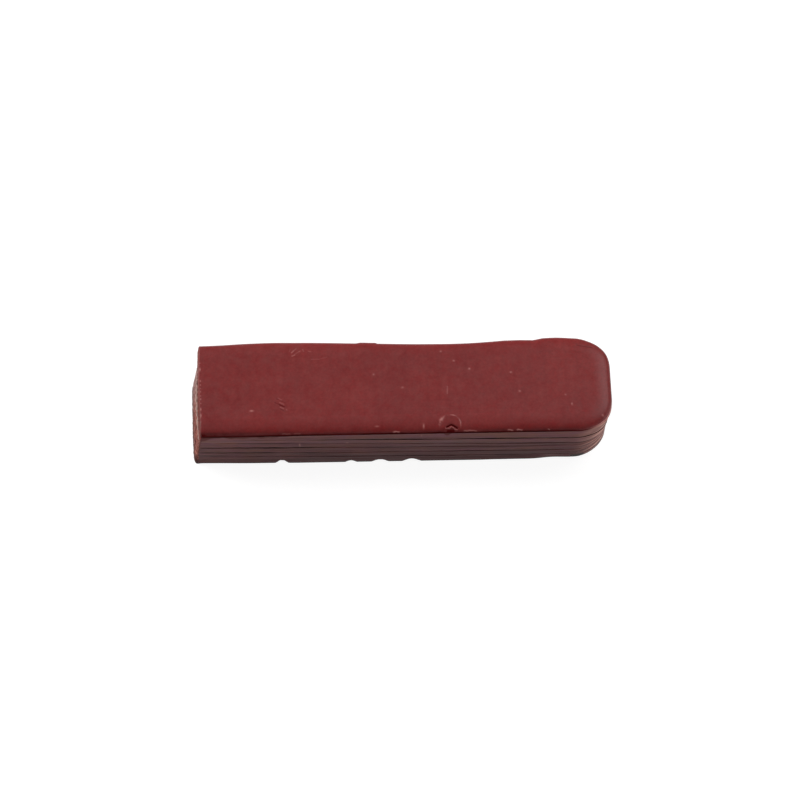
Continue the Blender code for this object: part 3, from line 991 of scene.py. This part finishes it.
def wax_side_bloom_and_painted_light():
    """The same wax against the mould: dull, with fine lines along the bar and a greyish bloom that is partly
    a painted reflection of the pale table.
    """
    material, tree, shader, place = wax_material("wax_side_bloom_and_painted_light", 0.28)
    axes = add_node(tree, "SeparateXYZ", {"Vector": place})
    # Lines drawn along the bar, about 0.7 mm apart and 16 mm long
    drawn = add_node(tree, "Mapping", {"Vector": place, "Scale": (1000 / 16, 1000 / 16, 1000 / 0.7)})
    lines = add_node(tree, "TexNoise", {"Vector": drawn.outputs["Vector"], "Scale": 1.0, "Detail": 4.0,
                                        "Roughness": 0.6})
    # Bloom in clouds about 5 mm wide, made paler as painted light towards the top and towards both ends, and
    # so darker towards the bottom
    clouds = add_node(tree, "TexNoise", {"Vector": place, "Scale": 1000 / 5, "Detail": 3.0})
    # Painted light: paler towards the top of the side, darker towards its bottom
    rise = add_node(tree, "MapRange", {"Value": axes.outputs["Z"], "From Min": 0.002, "From Max": 0.011,
                                       "To Min": -0.44, "To Max": 0.20})
    # Painted light: paler towards both ends of the side
    along = add_node(tree, "Math", {0: axes.outputs["X"]}, operation="ABSOLUTE")
    ends = add_node(tree, "MapRange", {"Value": along.outputs[0], "From Min": 0.012, "From Max": 0.032,
                                       "To Min": 0.0, "To Max": 0.15})
    paler_up_and_at_ends = add_node(tree, "Math", {0: rise.outputs["Result"], 1: ends.outputs["Result"]}, operation="ADD")
    cloudy = add_node(tree, "Math", {0: clouds.outputs["Fac"], 1: 0.5, 2: paler_up_and_at_ends.outputs[0]},
                      operation="MULTIPLY_ADD")
    both = add_node(tree, "Math", {0: lines.outputs["Fac"], 1: 1.6, 2: cloudy.outputs[0]},
                    operation="MULTIPLY_ADD")
    bloom_and_light = add_node(tree, "MapRange", {"Value": both.outputs[0], "From Min": 0.60, "From Max": 1.42})
    # The bloom is browner or more purple in patches about 4 mm long
    patches = add_node(tree, "Mapping", {"Vector": place, "Scale": (1000 / 4, 1000 / 4, 1000 / 1.5)})
    hue = add_node(tree, "TexNoise", {"Vector": patches.outputs["Vector"], "Scale": 1.0, "Detail": 2.0})
    share = add_node(tree, "MapRange", {"Value": hue.outputs["Fac"], "From Min": 0.35, "From Max": 0.65})
    grey = add_node(tree, "MixRGB", {"Fac": share.outputs["Result"], "Color1": linear("#83544B"),
                                     "Color2": linear("#805058")})
    colour = add_node(tree, "MixRGB", {"Fac": bloom_and_light.outputs["Result"], "Color1": linear("#48191A"),
                                       "Color2": grey.outputs["Color"]})
    colour = painted(tree, colour.outputs["Color"], "smear", "#5E211E")
    # Pale paint: ticks, the burr, and pale lines at the nose that are partly a painted highlight
    colour = painted(tree, colour, "pale", "#C88F81")
    # Dark paint: painted shade and dirt in the seams, and painted contact shade at the foot
    colour = painted(tree, colour, "dark", "#1C0B0A")
    lay_on(tree, shader, colour, lines.outputs["Fac"], 0.4, 0.06 * MM)
    gloss = add_node(tree, "MapRange", {"Value": bloom_and_light.outputs["Result"], "To Min": 0.52, "To Max": 0.68})
    tree.links.new(gloss.outputs["Result"], shader.inputs["Roughness"])
    return material


def broken_wax():
    """Fresh wax at the cut: crumbly, greyish pink at the back, redder towards the front and on the crown."""
    material, tree, shader, place = wax_material("broken_wax", 0.3)
    shader.inputs["Roughness"].default_value = 0.7
    axes = add_node(tree, "SeparateXYZ", {"Vector": place})
    backwards = add_node(tree, "MapRange", {"Value": axes.outputs["Y"], "From Min": -0.001,
                                            "From Max": 0.007})
    crown = add_node(tree, "MapRange", {"Value": axes.outputs["Z"], "From Min": 0.0096, "From Max": 0.0099})
    # Grains about 0.6 mm wide with crumbs on them, paler on top, and darker between them as painted shade
    grains = add_node(tree, "TexNoise", {"Vector": place, "Scale": 1000 / 0.6, "Detail": 4.0,
                                         "Roughness": 0.65})
    between = add_node(tree, "MixRGB", {"Fac": backwards.outputs["Result"], "Color1": linear("#682219"),
                                        "Color2": linear("#886860")})
    crumbs = add_node(tree, "MixRGB", {"Fac": backwards.outputs["Result"], "Color1": linear("#A86252"),
                                       "Color2": linear("#C6A5A0")})
    rough = add_node(tree, "MapRange", {"Value": grains.outputs["Fac"], "From Min": 0.36, "From Max": 0.64})
    mixed = add_node(tree, "MixRGB", {"Fac": rough.outputs["Result"], "Color1": between.outputs["Color"],
                                      "Color2": crumbs.outputs["Color"]})
    # Single pale crumbs of about 0.5 mm that stand out of the break, and dark pits of the same size
    loose = add_node(tree, "TexNoise", {"Vector": place, "Scale": 1000 / 0.5, "Detail": 1.0})
    for start, end, most, code in ((0.58, 0.70, 0.3, "#D8A290"), (0.46, 0.32, 0.5, "#5A2018")):
        here = add_node(tree, "MapRange", {"Value": loose.outputs["Fac"], "From Min": start, "From Max": end,
                                           "To Max": most})
        mixed = add_node(tree, "MixRGB", {"Fac": here.outputs["Result"], "Color1": mixed.outputs["Color"],
                                          "Color2": linear(code)})
    red = add_node(tree, "MixRGB", {"Fac": rough.outputs["Result"], "Color1": linear("#66201B"),
                                    "Color2": linear("#8C372F")})
    colour = add_node(tree, "MixRGB", {"Fac": crown.outputs["Result"], "Color1": mixed.outputs["Color"],
                                       "Color2": red.outputs["Color"]})
    colour = painted(tree, colour.outputs["Color"], "pale", "#ECD2C6")
    # Dark paint: painted contact shade at the foot and painted shade under the burr
    colour = painted(tree, colour, "dark", "#451710")
    lay_on(tree, shader, colour, grains.outputs["Fac"], 0.8, 0.14 * MM)
    return material


def mean_of_faces(mesh, paint):
    """The mean of a paint over the corners of each face."""
    values = read(mesh.attributes[paint].data, "value", 1)[:, 0]
    corners = read(mesh.loops, "vertex_index", 1, int)[:, 0]
    first = read(mesh.polygons, "loop_start", 1, int)[:, 0]
    count = np.diff(np.append(first, len(corners)))
    return np.add.reduceat(values[corners], first) / count


def dress(piece, materials):
    """Gives a piece its materials, in this order: the side's, the skin's, the cut's and the cracks'."""
    side, skin, cut, crack = range(len(materials))
    mesh = piece.data
    for material in materials:
        mesh.materials.append(material)
    centres = read(mesh.polygons, "center", 3)
    normals = read(mesh.polygons, "normal", 3)
    number = np.full(len(mesh.polygons), side)
    number[(mean_of_faces(mesh, "skin") > 0.4) | (centres[:, 2] > RIM_HEIGHT + 0.3 * MM)] = skin
    burr = from_cut(centres) < -0.04
    number[(from_cut(centres) < 1) & (normals[:, 0] < -0.45) | burr] = cut
    number[(number == skin) & (mean_of_faces(mesh, "dark") > 0.6)] = crack
    mesh.polygons.foreach_set("material_index", number)
    mesh.update()


def make_floor():
    """A white table, which the camera sees a little lighter than it is."""
    bpy.ops.object.select_all(action="DESELECT")
    bpy.ops.mesh.primitive_plane_add(size=12, location=(0, 0, 0))
    floor = bpy.context.object
    floor.name = "floor"
    material = bpy.data.materials.new("white_table")
    material.use_nodes = True
    tree = material.node_tree
    shader = tree.nodes["Principled BSDF"]
    shader.inputs["Roughness"].default_value = 0.9
    shader.inputs["Specular IOR Level"].default_value = 0.0
    rays = add_node(tree, "LightPath").outputs
    sharp = add_node(tree, "Math", {0: rays["Is Glossy Ray"], 1: rays["Is Transmission Ray"]},
                     operation="MAXIMUM")
    seen = add_node(tree, "Math", {0: rays["Is Camera Ray"], 1: sharp.outputs[0]}, operation="MAXIMUM")
    paint = add_node(tree, "MixRGB", {"Fac": seen.outputs[0], "Color1": linear("#D8D8D8"),
                                      "Color2": linear("#8A8A8A")})
    lift = add_node(tree, "Math", {0: seen.outputs[0], 1: 0.9}, operation="MULTIPLY")
    tree.links.new(paint.outputs["Color"], shader.inputs["Base Color"])
    shader.inputs["Emission Color"].default_value = (1, 1, 1, 1)
    tree.links.new(lift.outputs[0], shader.inputs["Emission Strength"])
    floor.data.materials.append(material)


def softbox(name, towards, level, spread):
    """A wide lamp far off in one direction, which gives the table this share of its light."""
    towards = Vector(towards).normalized()
    bpy.ops.object.light_add(type="SUN")
    lamp = bpy.context.object
    lamp.name = name
    lamp.rotation_euler = towards.to_track_quat("Z", "Y").to_euler()
    lamp.data.energy = level * math.pi / towards.z
    lamp.data.angle = math.radians(spread)


def make_light():
    world = bpy.data.worlds.new("studio")
    world.use_nodes = True
    world.node_tree.nodes["Background"].inputs["Color"].default_value = (1, 1, 1, 1)
    world.node_tree.nodes["Background"].inputs["Strength"].default_value = 0.10
    bpy.context.scene.world = world
    softbox("left_softbox", (-0.72, 0.58, 0.46), 0.43, 50)
    softbox("right_softbox", (0.485, 0.43, 0.76), 0.265, 36)
    softbox("top_softbox", (0.0, 0.485, 0.875), 0.035, 60)
    softbox("nose_softbox", (0.97, -0.15, 0.15), 0.052, 40)
    softbox("front_card", (-0.30, -0.90, 0.12), 0.012, 60)


def make_camera():
    """The photo's view, steeply down on the front and the crown."""
    target = Vector((0.00015, -0.00013, 0.00604))
    distance = 0.5
    azimuth = math.radians(-1.1)
    elevation = math.radians(61.3)
    away = Vector((math.sin(azimuth) * math.cos(elevation), -math.cos(azimuth) * math.cos(elevation),
                   math.sin(elevation)))
    bpy.ops.object.camera_add(location=target + distance * away)
    camera = bpy.context.object
    camera.rotation_euler = (-away).to_track_quat("-Z", "Y").to_euler()
    camera.data.sensor_width = 36
    camera.data.lens = 118.2
    bpy.context.scene.camera = camera


bpy.context.scene.view_settings.view_transform = "Standard"
make_camera()
make_floor()
make_light()
# The wax in a crack lies too deep to shine
materials = (wax_side_bloom_and_painted_light(), cast_wax_skin("cast_wax_skin", 0.32), broken_wax(),
             cast_wax_skin("cast_wax_in_cracks", 0.05))
for layer in range(CROWN):
    dress(make_layer(layer), materials)
dress(make_crown(), materials)
